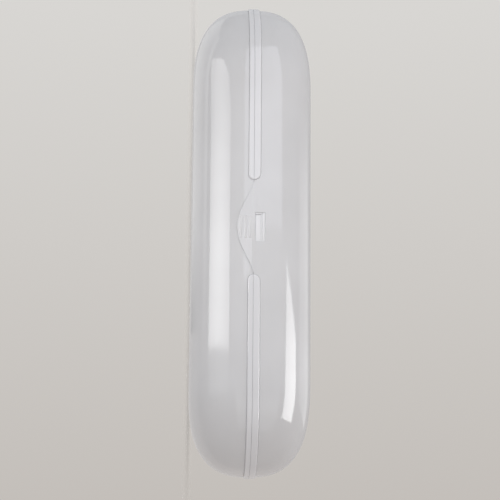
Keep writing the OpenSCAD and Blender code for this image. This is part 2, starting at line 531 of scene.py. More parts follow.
def knuckle_rooms(half: Half, grow: float) -> list[Piece]:
    """Makes the round bars of one half's knuckles.

    Args:
        half: The half that carries the knuckles.
        grow: Clearance added all round each of them.

    Returns:
        One bar for each knuckle.
    """
    if half is Half.LID:
        places = [side * SIZES.station_x for side in (-1, 1)]
        length = SIZES.lid_knuckle_l
    else:
        ends = [(side, end) for side in (-1, 1) for end in (-1, 1)]
        places = [side * SIZES.station_x + end * SIZES.knuckle_step for side, end in ends]
        length = SIZES.base_knuckle_l
    return [on_axis("knuckle", x, SIZES.hinge_radius + grow, length + 2 * grow) for x in places]


def distance_out(point: Vector) -> float:
    """Returns a point's distance from the part of the long axis that the straight sides run along."""
    return math.hypot(max(abs(point.x) - SIZES.straight, 0), point.y)


def on_outer_face(point: Vector, tolerance: float = 0.004) -> bool:
    """Says whether a point lies on the shells' outer face.

    Args:
        point: The place to look at.
        tolerance: How far the superellipse's sum may be from 1.

    Returns:
        Whether it lies there.
    """
    across = max(distance_out(point) - SIZES.half_depth + SIZES.edge_run, 0) / SIZES.edge_run
    up = abs(point.z) / SIZES.half_height
    return abs(across**SIZES.edge_power + up**SIZES.edge_power - 1) < tolerance


def finish_piece(
    piece: Piece, body: str, node: str, material: bpy.types.Material
) -> None:
    """Stands a finished piece in the shared frame, shades it and ties it to the object.

    Args:
        piece: The piece, drawn in millimetres about the parting plane.
        body: Body that it rides on.
        node: Node that it stands for.
        material: Its finish.
    """
    pick(piece)
    piece.scale = (METRES_PER_MM,) * 3
    piece.location = STAND
    bpy.ops.object.transform_apply(location=True, rotation=True, scale=True)
    bpy.ops.object.shade_smooth_by_angle(angle=SMOOTH)
    normals = piece.modifiers.new("normals of the large faces", "WEIGHTED_NORMAL")
    normals.keep_sharp = True
    bpy.ops.object.modifier_apply(modifier=normals.name)
    piece.data.materials.clear()
    piece.data.materials.append(material)
    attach(piece, body)
    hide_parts(node)
    log.info("%s: %d faces on %s", piece.name, len(piece.data.polygons), body)


def linear(colour: str) -> Colour:
    """Turns an sRGB colour into a linear one.

    Args:
        colour: Hex value such as #D0D0D4.

    Returns:
        Linear red, green, blue and alpha.
    """
    parts = [int(colour[k : k + 2], 16) / 255 for k in (1, 3, 5)]
    bent = [p / 12.92 if p <= 0.04045 else ((p + 0.055) / 1.055) ** 2.4 for p in parts]
    return bent[0], bent[1], bent[2], 1.0


def add_node(
    tree: bpy.types.NodeTree, kind: str, inputs: dict[str | int, object] | None = None, **settings: object
) -> bpy.types.Node:
    """Adds a node to a tree.

    Args:
        tree: The material's or world's node tree.
        kind: Type name of the node.
        inputs: Values and links by socket name or number. A socket as a value is linked.
        settings: Properties of the node itself.

    Returns:
        The new node.
    """
    node = tree.nodes.new(kind)
    for name, value in settings.items():
        setattr(node, name, value)
    for name, value in (inputs or {}).items():
        if isinstance(value, bpy.types.NodeSocket):
            tree.links.new(value, node.inputs[name])
        else:
            node.inputs[name].default_value = value
    return node


def new_material(name: str) -> tuple[bpy.types.Material, bpy.types.NodeTree]:
    """Makes an empty node material.

    Args:
        name: Name of the material.

    Returns:
        The material and its node tree.
    """
    material = bpy.data.materials.new(name)
    material.use_nodes = True
    material.node_tree.nodes.clear()
    return material, material.node_tree


def set_ramp(node: bpy.types.Node, stops: Sequence[tuple[float, Colour]]) -> None:
    """Sets the stops of a colour ramp.

    Args:
        node: The ramp's node.
        stops: The place of each stop, from 0 to 1, and its linear colour.
    """
    ramp = node.color_ramp
    while len(ramp.elements) < len(stops):
        ramp.elements.new(0.5)
    while len(ramp.elements) > len(stops):
        ramp.elements.remove(ramp.elements[-1])
    for element, (place, colour) in zip(ramp.elements, stops):
        element.position = place
        element.color = colour


@dataclass(frozen=True)
class MilkyPlastic:
    """Injection moulded styrene plastic, polished in the mould.

    It is cloudy rather than opaque, so light spreads a little below the surface and softens edges.
    The mould's polish gives crisp reflections, with faint hairlines from being carried in a bag.
    Noise scales are in waves per metre.
    """

    name: str
    colour: str = "#D4D4D6"
    cloud: str = "#CFCFD1"
    roughness: float = 0.06
    worn: float = 0.05
    ior: float = 1.5
    cloud_mm: float = 25.0
    cloud_band: Flat = (0.35, 0.65)
    hair_scale: tuple[float, float, float] = (300.0, 2600.0, 2600.0)
    hair_band: Flat = (0.55, 0.8)
    wave_mm: float = 12.5
    wave_height_mm: float = 0.4
    wave_strength: float = 0.12
    spread: float = 0.25
    spread_mm: float = 1.5
    spread_colour: tuple[float, float, float] = (1.0, 0.95, 0.9)

    def make(self) -> bpy.types.Material:
        """Makes the node material.

        Returns:
            The material.
        """
        material, tree = new_material(self.name)
        place = add_node(tree, "ShaderNodeTexCoord").outputs["Object"]
        # Slow cloudiness of the pigment
        cloud_scale = 1 / (self.cloud_mm * METRES_PER_MM)
        cloud = add_node(tree, "ShaderNodeTexNoise", {"Vector": place, "Scale": cloud_scale, "Detail": 2.0})
        shade = add_node(tree, "ShaderNodeValToRGB", {"Fac": cloud.outputs["Fac"]})
        dim, clear = self.cloud_band
        set_ramp(shade, [(dim, linear(self.cloud)), (clear, linear(self.colour))])
        # Wear hairlines, drawn a few tenths of a millimetre wide so that they show at all
        stretch = add_node(tree, "ShaderNodeMapping", {"Vector": place, "Scale": self.hair_scale})
        hairs = add_node(tree, "ShaderNodeTexNoise", {"Vector": stretch.outputs["Vector"], "Scale": 1.0})
        least, most = self.hair_band
        rough = add_node(
            tree,
            "ShaderNodeMapRange",
            {
                "Value": hairs.outputs["Fac"],
                "From Min": least,
                "From Max": most,
                "To Min": self.roughness,
                "To Max": self.roughness + self.worn,
            },
        )
        # The mould's polishing leaves a slow waviness
        wave_scale = 1 / (self.wave_mm * METRES_PER_MM)
        wave = add_node(tree, "ShaderNodeTexNoise", {"Vector": place, "Scale": wave_scale, "Detail": 0.0})
        bump = add_node(
            tree,
            "ShaderNodeBump",
            {
                "Height": wave.outputs["Fac"],
                "Strength": self.wave_strength,
                "Distance": self.wave_height_mm * METRES_PER_MM,
            },
        )
        surface = add_node(
            tree,
            "ShaderNodeBsdfPrincipled",
            {
                "Base Color": shade.outputs["Color"],
                "Roughness": rough.outputs["Result"],
                "Normal": bump.outputs["Normal"],
                "IOR": self.ior,
                "Subsurface Weight": self.spread,
                "Subsurface Radius": self.spread_colour,
                "Subsurface Scale": self.spread_mm * METRES_PER_MM,
            },
        )
        add_node(tree, "ShaderNodeOutputMaterial", {"Surface": surface.outputs["BSDF"]})
        return material


@dataclass(frozen=True)
class FlockedFoam:
    """Short nylon flock on a thin foam liner.

    The fibres stand up from the glue, so the surface is dull, with a soft bright edge, fine grain and
    painted shade in the pile's hollows.
    Flock is about 0.5 mm long and is drawn as tufts of 0.4 mm. Noise scales are in waves per metre.
    """

    name: str = "flocked_foam_liner"
    colour: str = "#C4C4C8"
    shaded_hollow: str = "#B4B4B9"
    tuft_scale: float = 2400.0
    patch_scale: float = 90.0
    patch_share: float = 0.4
    shade_band: Flat = (0.35, 0.62)
    pile_mm: float = 0.4
    pile_strength: float = 0.5
    detail: float = 3.0
    roughness: float = 0.95
    specular: float = 0.2
    sheen: float = 0.4
    sheen_roughness: float = 0.5

    def make(self) -> bpy.types.Material:
        """Makes the node material.

        Returns:
            The material.
        """
        material, tree = new_material(self.name)
        place = add_node(tree, "ShaderNodeTexCoord").outputs["Object"]
        grain = add_node(
            tree,
            "ShaderNodeTexNoise",
            {"Vector": place, "Scale": self.tuft_scale, "Detail": self.detail},
        )
        patch = add_node(
            tree,
            "ShaderNodeTexNoise",
            {"Vector": place, "Scale": self.patch_scale, "Detail": self.detail},
        )
        blend = add_node(
            tree,
            "ShaderNodeMix",
            {"Factor": self.patch_share, "A": grain.outputs["Fac"], "B": patch.outputs["Fac"]},
            data_type="FLOAT",
        )
        # Painted shade: where the pile's bump is low, the ramp gives the darker hollow colour, mixed with a
        # random patchy tone from the patch noise
        shade = add_node(tree, "ShaderNodeValToRGB", {"Fac": blend.outputs["Result"]})
        dim, clear = self.shade_band
        set_ramp(shade, [(dim, linear(self.shaded_hollow)), (clear, linear(self.colour))])
        bump = add_node(
            tree,
            "ShaderNodeBump",
            {
                "Height": grain.outputs["Fac"],
                "Strength": self.pile_strength,
                "Distance": self.pile_mm * METRES_PER_MM,
            },
        )
        surface = add_node(
            tree,
            "ShaderNodeBsdfPrincipled",
            {
                "Base Color": shade.outputs["Color"],
                "Roughness": self.roughness,
                "Normal": bump.outputs["Normal"],
                "Specular IOR Level": self.specular,
                "Sheen Weight": self.sheen,
                "Sheen Roughness": self.sheen_roughness,
            },
        )
        add_node(tree, "ShaderNodeOutputMaterial", {"Surface": surface.outputs["BSDF"]})
        return material


@dataclass(frozen=True)
class DrawnSteel:
    """Cold drawn steel wire, which carries fine lines along its length from the die.

    The lines are about 0.1 mm apart. Their scale is in waves per metre, with the wire along X.
    """

    name: str = "drawn_steel_wire"
    colour: str = "#B0B1B4"
    line_scale: tuple[float, float, float] = (200.0, 9000.0, 9000.0)
    line_depth_mm: float = 0.05
    line_strength: float = 0.2
    smoothest: float = 0.22
    roughest: float = 0.42

    def make(self) -> bpy.types.Material:
        """Makes the node material.

        Returns:
            The material.
        """
        material, tree = new_material(self.name)
        place = add_node(tree, "ShaderNodeTexCoord").outputs["Object"]
        stretch = add_node(tree, "ShaderNodeMapping", {"Vector": place, "Scale": self.line_scale})
        lines = add_node(tree, "ShaderNodeTexNoise", {"Vector": stretch.outputs["Vector"], "Scale": 1.0})
        rough = add_node(
            tree,
            "ShaderNodeMapRange",
            {"Value": lines.outputs["Fac"], "To Min": self.smoothest, "To Max": self.roughest},
        )
        bump = add_node(
            tree,
            "ShaderNodeBump",
            {
                "Height": lines.outputs["Fac"],
                "Strength": self.line_strength,
                "Distance": self.line_depth_mm * METRES_PER_MM,
            },
        )
        surface = add_node(
            tree,
            "ShaderNodeBsdfPrincipled",
            {
                "Base Color": linear(self.colour),
                "Metallic": 1.0,
                "Roughness": rough.outputs["Result"],
                "Normal": bump.outputs["Normal"],
            },
        )
        add_node(tree, "ShaderNodeOutputMaterial", {"Surface": surface.outputs["BSDF"]})
        return material


@dataclass
class ShellHalf:
    """One moulded shell of the case."""

    half: Half
    plastic: bpy.types.Material
    section_step: float = 1.25
    inner_step: float = 3.0
    mouth_round: float = 0.12
    mouth_reach: float = 6.5

    def blank(self) -> Piece:
        """Makes the plain shell, drawn down to the parting plane.

        Returns:
            The shell before its cuts.
        """
        s = SIZES
        mouth = s.band_height(self.half) + s.crevice
        outer = [
            point
            for point in s.rounding(0, s.seam, self.section_step)
            if abs(point[1] - mouth) > 2 * self.mouth_round
        ]
        inner = s.rounding(s.wall, s.seam, self.inner_step)
        points = list(reversed(outer)) + inner
        piece = draw_line(f"{self.half.value}_shell_moulding", section(self.half, points))
        carry_round(piece)
        return piece

    def build(self, tab: "ThumbTab", catch: "SnapCatch") -> Piece:
        """Cuts the shell to its rim and its fittings.

        Args:
            tab: The thumb tab, which the lid gains and for which the base has a recess.
            catch: The catch, whose window the lid has.

        Returns:
            The finished shell.
        """
        s = SIZES
        piece = self.blank()
        tools = band_room(self.half, s.crevice)
        tools += knuckle_rooms(self.half, s.fit) + knuckle_rooms(self.half.other, s.knuckle_gap)
        if self.half is Half.LID:
            tools += catch.openings()
        else:
            tools.append(tab.recess())
            crown = s.half_height - s.land_cut
            tools.append(block("land", (-FAR, -FAR, -FAR), (FAR, FAR, -crown)))
        combine(piece, tools, Joining.CUT)
        tidy_up(piece, FINE_MERGE)
        round_edges(piece, self.is_mouth, self.mouth_round)
        if self.half is Half.LID:
            combine(piece, tab.build(), Joining.ADD)
        finish_piece(piece, self.half.value, f"{self.half.value}_shell", self.plastic)
        return piece

    def is_mouth(self, point: Vector) -> bool:
        """Says whether a point lies on the outer edge of the mouth or of a cut in it."""
        in_recess = self.half is Half.BASE and abs(point.x) < SIZES.tab_half and point.y < 0
        return abs(point.z) < self.mouth_reach and on_outer_face(point) and not in_recess


@dataclass
class ThumbTab:
    """The crescent thumb tab on the lid, with its grip ribs.

    Its face leans back towards its lower edge, by face_lean for each millimetre of height, and its
    root sinks into the shell. Each cutter reaches past the tab by the spare.
    """

    drop: float = 5.15
    fullness: float = 0.65
    proud: float = 0.3
    thickness: float = 1.0
    root: float = 0.5
    face_lean: float = 0.05
    clearance: float = 0.005
    outline_steps: int = 48
    blank_proud: float = 2.0
    root_sunk: float = 0.02
    front_reach: float = 0.2
    spare: float = 5.0
    edge_round: float = 0.1
    rib_count: int = 3
    rib_first: float = 1.05
    rib_pitch: float = 1.45
    rib_length: float = 7.4
    rib_radius: float = 0.5
    rib_flatness: float = 0.6
    rib_proud: float = 0.15
    rib_segments: int = 32
    rib_rings: int = 24
    swing_sides: int = 360

    @property
    def inner_radius(self) -> float:
        """Returns the radius of the tab's back about the hinge axis."""
        return SIZES.hinge_y + SIZES.half_depth + self.proud - self.thickness

    def outline(self, grow: float) -> list[Flat]:
        """Draws the tab's outline.

        Args:
            grow: Clearance added all round.

        Returns:
            Its corners as X and Z.
        """
        reach = SIZES.tab_half + 2 * grow
        points = [(reach, self.root), (-reach, self.root)]
        for index in range(self.outline_steps + 1):
            x = reach * (2 * index / self.outline_steps - 1)
            bulge = ((1 + math.cos(math.pi * x / reach)) / 2) ** self.fullness
            points.append((x, -grow - self.drop * bulge))
        return points

    def swing(self, radius: float) -> Piece:
        """Makes a cylinder about the hinge axis."""
        return on_axis("swing", 0, radius, 2 * (SIZES.tab_half + self.spare), self.swing_sides)

    def recess(self) -> Piece:
        """Makes the room in the base's wall that the tab closes into.

        Returns:
            The tool that cuts it.
        """
        room = prism("recess", self.outline(self.clearance), -FAR, -SIZES.half_depth + self.spare)
        combine(room, [self.swing(self.inner_radius - self.clearance)], Joining.CUT)
        return room

    def face_at(self, height: float) -> float:
        """Returns where the tab's leaning face lies along Y at a height."""
        return self.face_lean * (self.root - height) - SIZES.half_depth - self.proud

    def in_front(self, low: Flat, high: Flat) -> Piece:
        """Makes the space in front of a slope through two points.

        Args:
            low: Y and Z of the lower point.
            high: Y and Z of the upper point.

        Returns:
            The tool that cuts the slope.
        """
        run = (high[0] - low[0], high[1] - low[1])
        bottom = (low[0] - 2 * run[0], low[1] - 2 * run[1])
        top = (high[0] + 2 * run[0], high[1] + 2 * run[1])
        outline = [bottom, top, (-FAR, top[1]), (-FAR, bottom[1])]
        return bar("in_front", outline, SIZES.tab_half + self.spare)

    def plate(self) -> Piece:
        """Makes the crescent plate, with a leaning face, a rounded edge and a gentle slope at its root.

        Returns:
            The plate, which reaches into the shell's wall.
        """
        root = self.root
        surface = -SIZES.half_depth
        skin = prism("tab", self.outline(0), surface - self.blank_proud, surface + SIZES.wall)
        face = self.in_front((self.face_at(-self.drop), -self.drop), (self.face_at(root), root))
        combine(skin, [face], Joining.CUT)
        tidy_up(skin, FINE_MERGE)
        front = surface + self.front_reach
        round_edges(skin, lambda point: point.y < front and point.z < 0, self.edge_round, 4)
        slope = self.in_front((self.face_at(-root), -root), (surface + self.root_sunk, root))
        combine(skin, [slope, self.swing(self.inner_radius)], Joining.CUT)
        return skin

    def rib(self, drop: float) -> Piece:
        """Makes one grip rib, a low oval bar with round ends, mostly sunk into the plate.

        Args:
            drop: How far its middle lies below the parting plane.

        Returns:
            The rib.
        """
        deselect()
        half = self.rib_length / 2 - self.rib_radius
        bpy.ops.mesh.primitive_uv_sphere_add(
            segments=self.rib_segments,
            ring_count=self.rib_rings,
            radius=self.rib_radius,
            rotation=(0, math.pi / 2, 0),
            scale=(1, self.rib_flatness, 1),
        )
        piece = name_piece("rib")
        bpy.ops.object.transform_apply(location=True, rotation=True, scale=True)
        sunk = self.face_at(-drop) + self.rib_radius * self.rib_flatness - self.rib_proud
        shift(piece, lambda point: point.x > ON_PLANE, (half, 0, 0))
        shift(piece, lambda point: point.x < -ON_PLANE, (-half, 0, 0))
        shift(piece, lambda point: True, (0, sunk, -drop))
        return piece

    def build(self) -> list[Piece]:
        """Returns the plate and its ribs, to be added to the lid's shell."""
        ribs = [self.rib(self.rib_first + k * self.rib_pitch) for k in range(self.rib_count)]
        return [self.plate(), *ribs]


@dataclass
class RimFrame:
    """The raised band of one half, with the frame behind it and its hinge knuckles."""

    half: Half
    plastic: bpy.types.Material
    section_step: float = 1.5
    frame_chamfer: float = 0.2
    crevice_round: float = 0.4
    parting_round: float = 0.1
    knuckle_round: float = 0.25
    bore_clearance: float = 0.03
    bore_length: float = 30.0
    spine_height: float = 1.2
    spare: float = 1.0

    def blank(self) -> Piece:
        """Makes the plain ring, from the raised band to the upper edge of the frame.

        Returns:
            The ring before its cuts.
        """
        s = SIZES
        height = s.band_height(self.half)
        top = s.frame_depth
        chamfer = self.frame_chamfer
        back = [p for p in s.rounding(s.frame_back, s.seam, self.section_step) if p[1] < top]
        front = [p for p in s.rounding(s.frame_in, height, self.section_step) if p[1] < top]
        out = s.half_depth + s.band_proud
        top_out = s.half_depth - s.frame_in - s.lean(top)
        top_in = s.half_depth - s.frame_back - s.lean(top)
        points = [(out, s.seam), (out, height), *front]
        points += [(top_out, top - chamfer), (top_out - chamfer, top)]
        points += [(top_in + chamfer, top), (top_in, top - chamfer), *reversed(back)]
        piece = draw_line(f"{self.half.value}_rim_band", section(self.half, points), closed=True)
        carry_round(piece)
        return piece

    def gap_beside_tab(self) -> Piece:
        """Makes the cutter that ends the raised band in a half round on each side of the tab.

        Returns:
            The cutter.
        """
        s = SIZES
        height = s.band_height(self.half)
        middle = s.band_stop + height
        reach = height + self.spare
        turns = arc(90, 0, BAND_END_STEPS // 2)
        right = [(middle - height * math.sin(a), height * math.cos(a)) for a in turns]
        left = [(-x, z) for x, z in reversed(right)]
        outline = [(x, self.half.up * z) for x, z in right + [(middle, reach), (-middle, reach)] + left]
        outline.insert(0, (s.band_stop, -self.half.up))
        outline.append((-s.band_stop, -self.half.up))
        return prism("gap", outline, -FAR, -s.half_depth + s.frame_in)

    def build(self, catch: "SnapCatch") -> Piece:
        """Cuts the ring at the tab and the spine and adds its knuckles.

        Args:
            catch: The catch, whose hook passes through both rims.

        Returns:
            The finished rim.
        """
        s = SIZES
        piece = self.blank()
        combine(piece, [self.gap_beside_tab(), self.bevel_wedge()], Joining.CUT)
        tidy_up(piece, FINE_MERGE)
        round_edges(piece, self.on_crevice_side, self.crevice_round, 5)
        round_edges(piece, self.on_parting_side, self.parting_round, 3)
        rooms = knuckle_rooms(self.half.other, s.knuckle_gap)
        combine(piece, [*rooms, catch.slot(self.half)], Joining.CUT)
        knuckles = knuckle_rooms(self.half, 0)
        for knuckle in knuckles:
            round_edges(knuckle, lambda point: True, self.knuckle_round, 3)
        combine(piece, knuckles, Joining.ADD)
        radius = s.pin_radius + self.bore_clearance
        bores = [on_axis("bore", side * s.station_x, radius, self.bore_length) for side in (-1, 1)]
        combine(piece, bores, Joining.CUT)
        finish_piece(piece, self.half.value, f"{self.half.value}_rim", self.plastic)
        return piece

    def bevel_wedge(self) -> Piece:
        """Makes the wedge that bevels the spine's edge, which lets the lid open.

        Returns:
            The wedge, which cuts both rims alike.
        """
        run = 2 * SIZES.hinge_radius
        rise = run * math.tan(math.radians(SIZES.stop_angle))
        start = SIZES.hinge_y
        return bar("wedge", [(start, 0), (start + run, rise), (start + run, -rise)], FAR)

    def on_band_face(self, point: Vector, tolerance: float = 0.01) -> bool:
        """Says whether a point lies on the band's outer wall."""
        return abs(distance_out(point) - SIZES.half_depth - SIZES.band_proud) < tolerance

    def on_parting_side(self, point: Vector, tolerance: float = 0.005) -> bool:
        """Says whether a point lies on the band's edge beside the parting plane."""
        return self.on_band_face(point) and abs(abs(point.z) - SIZES.seam) < tolerance

    def on_crevice_side(self, point: Vector, tolerance: float = 0.005) -> bool:
        """Says whether a point lies on the band's edge beside the shell."""
        above_seam = abs(point.z) > SIZES.seam + tolerance
        return self.on_band_face(point) and above_seam and not self.at_spine(point)

    def at_spine(self, point: Vector, tolerance: float = 0.1) -> bool:
        """Says whether a point lies on the bevelled spine."""
        return point.y > SIZES.hinge_y + tolerance and abs(point.z) < self.spine_height


@dataclass
class SnapCatch:
    """The hook on the base and the keeper round the lid's window.

    Heights are measured from the parting plane, and depths inwards from the shells' outer face.
    Joined blocks overlap by the weld, and each cutter reaches past its piece by the spare.
    """

    plastic: bpy.types.Material
    window_length: float = 8.0
    window_height: float = 1.8
    window_low: float = 0.55
    leg: float = 0.5
    head: float = 1.25
    set_back: float = 0.3
    wall_in_front: float = 0.7
    flange_reach: float = 1.3
    hook_clearance: float = 0.02
    tongue: float = 0.85
    nose: float = 0.3
    overlap: float = 0.4
    foot_depth: float = 3.5
    clip: float = 0.65
    clip_reach: float = 1.5
    groove: float = 0.25
    groove_up: float = 0.4
    edge_round: float = 0.08
    clip_round: float = 0.15
    weld: float = 0.01
    spare: float = 1.0
    pocket_low: float = -5.0

    @property
    def window_top(self) -> float:
        """Returns the height of the window's upper edge."""
        return self.window_low + self.window_height

    @property
    def keeper_half(self) -> float:
        """Returns half of the keeper's length."""
        return self.window_length / 2 + self.leg

    @property
    def keeper_top(self) -> float:
        """Returns the height of the keeper's head."""
        return self.window_top + self.head

    @property
    def hook_half(self) -> float:
        """Returns half of the hook's length."""
        return self.window_length / 2 - self.hook_clearance

    @property
    def hook_top(self) -> float:
        """Returns the height of the hook's upper end."""
        return self.window_top + self.overlap

    @property
    def head_top(self) -> float:
        """Returns the height of the upper end of the keeper's flange."""
        return self.keeper_top + self.flange_reach / 2

    @property
    def flange_half(self) -> float:
        """Returns half of the length of the keeper's flange."""
        return self.keeper_half + self.flange_reach

    def front_block(self, name: str, half: float, depths: Flat, heights: Flat) -> Piece:
        """Makes a block at the opening edge.

        Args:
            name: Name of the new object.
            half: Half of its length along X.
            depths: Where it starts and ends, inwards from the shells' outer face.
            heights: Where it starts and ends, upwards from the parting plane.

        Returns:
            The new block.
        """
        near, back = depths
        low, high = heights
        front = -SIZES.half_depth
        return block(name, (-half, front + near, low), (half, front + back, high))

    def openings(self) -> list[Piece]:
        """Makes the tools for the lid's window and for the pocket that the keeper sits in.

        Returns:
            The two tools.
        """
        fit = SIZES.fit
        behind = SIZES.wall + self.spare
        window = (self.window_low, self.keeper_top + fit)
        pocket = (self.pocket_low, self.head_top + fit)
        return [
            self.front_block("window", self.keeper_half + fit, (-self.spare, behind), window),
            self.front_block("pocket", self.flange_half + fit, (self.wall_in_front, behind), pocket),
        ]

    def slot(self, half: Half) -> Piece:
        """Makes the tool for the hook's way through a rim.

        Args:
            half: The half whose rim is cut.

        Returns:
            The tool.
        """
        s = SIZES
        behind = s.frame_back + self.spare
        if half is Half.LID:
            heights = (-self.spare, self.hook_top + self.hook_clearance)
            return self.front_block("slot", self.hook_half + self.hook_clearance, (0, behind), heights)
        heights = (-self.foot_depth - s.fit, self.spare)
        return self.front_block("slot", self.hook_half + s.fit, (s.frame_in - s.fit, behind), heights)

    def build_keeper(self) -> Piece:
        """Makes the keeper, a frame on three sides of the window with a flange behind the wall.

        Returns:
            The finished keeper.
        """
        s = SIZES
        flange_in = self.wall_in_front + s.fit
        frame_heights = (self.window_low + s.fit, self.keeper_top)
        depths = (self.set_back, flange_in)
        piece = self.front_block("keeper_frame", self.keeper_half, depths, frame_heights)
        depths = (-self.spare, flange_in + self.spare)
        hole = self.front_block("hole", self.window_length / 2, depths, (-self.spare, self.window_top))
        low = self.window_top + self.groove_up - self.groove / 2
        depths = (-self.spare, self.set_back + self.groove)
        groove = self.front_block("groove", self.window_length, depths, (low, low + self.groove))
        combine(piece, [hole, groove], Joining.CUT)
        front = -s.half_depth + self.set_back + self.weld
        round_edges(piece, lambda point: point.y < front, self.edge_round, 3)
        heights = (self.hook_top + self.hook_clearance, self.head_top)
        depths = (flange_in - self.weld, s.wall - s.fit)
        combine(piece, [self.front_block("flange", self.flange_half, depths, heights)], Joining.ADD)
        finish_piece(piece, "lid", "keeper", self.plastic)
        return piece

    def build_hook(self) -> Piece:
        """Makes the hook, with its foot in the base's frame, a clip behind it and a nosed tongue.

        Returns:
            The finished hook.
        """
        s = SIZES
        nose_in = self.wall_in_front + self.hook_clearance + s.fit
        tongue_in = nose_in + self.nose
        tongue_back = tongue_in + self.tongue
        lean = s.lean(self.foot_depth)
        foot_in = s.frame_in + lean
        clip_in = s.frame_back + lean + s.fit
        gap = 2 * s.seam
        low = max(self.window_low, gap + self.nose + s.fit / 2)
        outline = [
            (foot_in, -self.foot_depth), (clip_in, -self.foot_depth), (clip_in, -gap),
            (tongue_back, gap), (tongue_back, self.hook_top), (tongue_in, self.hook_top),
            (nose_in, self.hook_top - self.nose), (nose_in, low), (tongue_in, low - self.nose),
            (tongue_in, gap), (foot_in, -gap),
        ]
        piece = bar("snap_hook", [(-s.half_depth + y, z) for y, z in outline], self.hook_half)
        round_edges(piece, lambda point: point.z > gap - self.weld, self.edge_round, 2)
        depths = (clip_in - self.weld, clip_in + self.clip)
        clip = self.front_block("clip", self.hook_half + self.clip_reach, depths, (-self.foot_depth, -gap))
        clip_front = -s.half_depth + clip_in
        round_edges(clip, lambda point: point.y > clip_front, self.clip_round, 2)
        combine(piece, [clip], Joining.ADD)
        finish_piece(piece, "base", "catch_hook", self.plastic)
        return piece


@dataclass
class LiningTray:
    """The flocked foam liner of one half, with a rolled upper edge."""

    half: Half
    fabric: bpy.types.Material
    thickness: float = 1.5
    section_step: float = 3.0
    lip_steps: int = 10
    round_steps: int = 72

    def build(self) -> Piece:
        """Makes the tray, from its rolled upper edge to the crown.

        Returns:
            The finished lining.
        """
        s = SIZES
        low = s.frame_depth + s.fit
        inside = s.frame_in + self.thickness
        outer = s.rounding(s.frame_in, low, self.section_step)
        inner = s.rounding(inside, low, self.section_step)
        roll = self.thickness / 2
        middle = (outer[0][0] + inner[0][0]) / 2
        turns = arc(0, 180, self.lip_steps)[1:-1]
        lip = [(middle + roll * math.cos(a), low + roll * (1 - math.sin(a))) for a in turns]
        outer = [point for point in outer if point[1] > low + roll]
        inner = [point for point in inner if point[1] > low + roll]
        points = list(reversed(outer)) + lip + inner
        piece = draw_line(f"{self.half.value}_lining_tray", section(self.half, points))
        carry_round(piece, steps=self.round_steps)
        finish_piece(piece, self.half.value, f"{self.half.value}_lining", self.fabric)
        return piece


@dataclass
class HingePins:
    """The two steel pins on the hinge axis, a little shorter than their row of knuckles."""

    steel: bpy.types.Material
    short: float = 0.3
    end_round: float = 0.2
    sides: int = 40

    def build(self) -> list[Piece]:
        """Makes both pins.

        Returns:
            The left and the right pin.
        """
        s = SIZES
        length = s.lid_knuckle_l + 2 * (s.knuckle_gap + s.base_knuckle_l - self.short)
        made = []
        for side, node in ((-1, "hinge_pin_left"), (1, "hinge_pin_right")):
            piece = on_axis(f"{node}_wire", side * s.station_x, s.pin_radius, length, self.sides)
            round_edges(piece, lambda point: True, self.end_round, 4)
            finish_piece(piece, "base", node, self.steel)
            made.append(piece)
        return made


@dataclass(frozen=True)
class StudioCard:
    """A bright card that only shows in the case's gloss.

    Its plane is square to a direction about the long axis, measured upwards from straight in front.
    Corners and stops are distances from its middle, along X and across it. Each stop of along and
    over has the share of the full strength that is left there.
    """

    name: str
    angle: float
    corners: tuple[Flat, ...]
    strength: float
    colour: str = "#FFFFFF"
    reach: float = 600.0
    along: tuple[Flat, ...] = ((0, 1.0),)
    over: tuple[Flat, ...] = ((0, 1.0),)

    def build(self) -> Piece:
        """Hangs the card in its place and lights it.

        Returns:
            The card.
        """
        turn = math.radians(self.angle)
        centre = Vector((0, -math.cos(turn), math.sin(turn))) * self.reach
        across = Vector((0, math.sin(turn), math.cos(turn)))
        points = [centre + Vector((x, 0, 0)) + across * t for x, t in self.corners]
        piece = draw_line(self.name, points, closed=True)
        bpy.ops.mesh.select_all(action="SELECT")
        bpy.ops.mesh.edge_face_add()
        bpy.ops.object.mode_set(mode="OBJECT")
        piece.scale = (METRES_PER_MM,) * 3
        piece.location = STAND
        bpy.ops.object.transform_apply(location=True, rotation=True, scale=True)
        material, tree = new_material(self.name)
        first = self.fall(tree, Vector((1, 0, 0)), self.along)
        second = self.fall(tree, across, self.over)
        share = add_node(tree, "ShaderNodeMath", {0: first, 1: second}, operation="MULTIPLY")
        level = add_node(
            tree, "ShaderNodeMath", {0: share.outputs["Value"], 1: self.strength}, operation="MULTIPLY"
        )
        glow = add_node(
            tree, "ShaderNodeEmission", {"Color": linear(self.colour), "Strength": level.outputs["Value"]}
        )
        add_node(tree, "ShaderNodeOutputMaterial", {"Surface": glow.outputs["Emission"]})
        material.cycles.emission_sampling = "NONE"
        piece.data.materials.append(material)
        piece.visible_camera = False
        piece.visible_diffuse = False
        piece.visible_transmission = False
        piece.visible_volume_scatter = False
        piece.visible_shadow = False
        return piece

    def fall(self, tree: bpy.types.NodeTree, way: Vector, stops: Sequence[Flat]) -> bpy.types.NodeSocket:
        """Makes the share of the full strength that is left along one direction of the card.

        Args:
            tree: The card's node tree.
            way: The direction.
            stops: Distances from the card's middle in millimetres, each with its share.

        Returns:
            The socket that gives the share.
        """
        span = 2 * self.reach * METRES_PER_MM
        place = add_node(tree, "ShaderNodeTexCoord").outputs["Object"]
        out = add_node(tree, "ShaderNodeVectorMath", {0: place, 1: STAND}, operation="SUBTRACT")
        distance = add_node(
            tree, "ShaderNodeVectorMath", {0: out.outputs["Vector"], 1: way}, operation="DOT_PRODUCT"
        )
        run = add_node(
            tree,
            "ShaderNodeMapRange",
            {"Value": distance.outputs["Value"], "From Min": -span / 2, "From Max": span / 2},
        )
        share = add_node(tree, "ShaderNodeValToRGB", {"Fac": run.outputs["Result"]})
        set_ramp(share, [(0.5 + x * METRES_PER_MM / span, (part, part, part, 1.0)) for x, part in stops])
        return share.outputs["Color"]


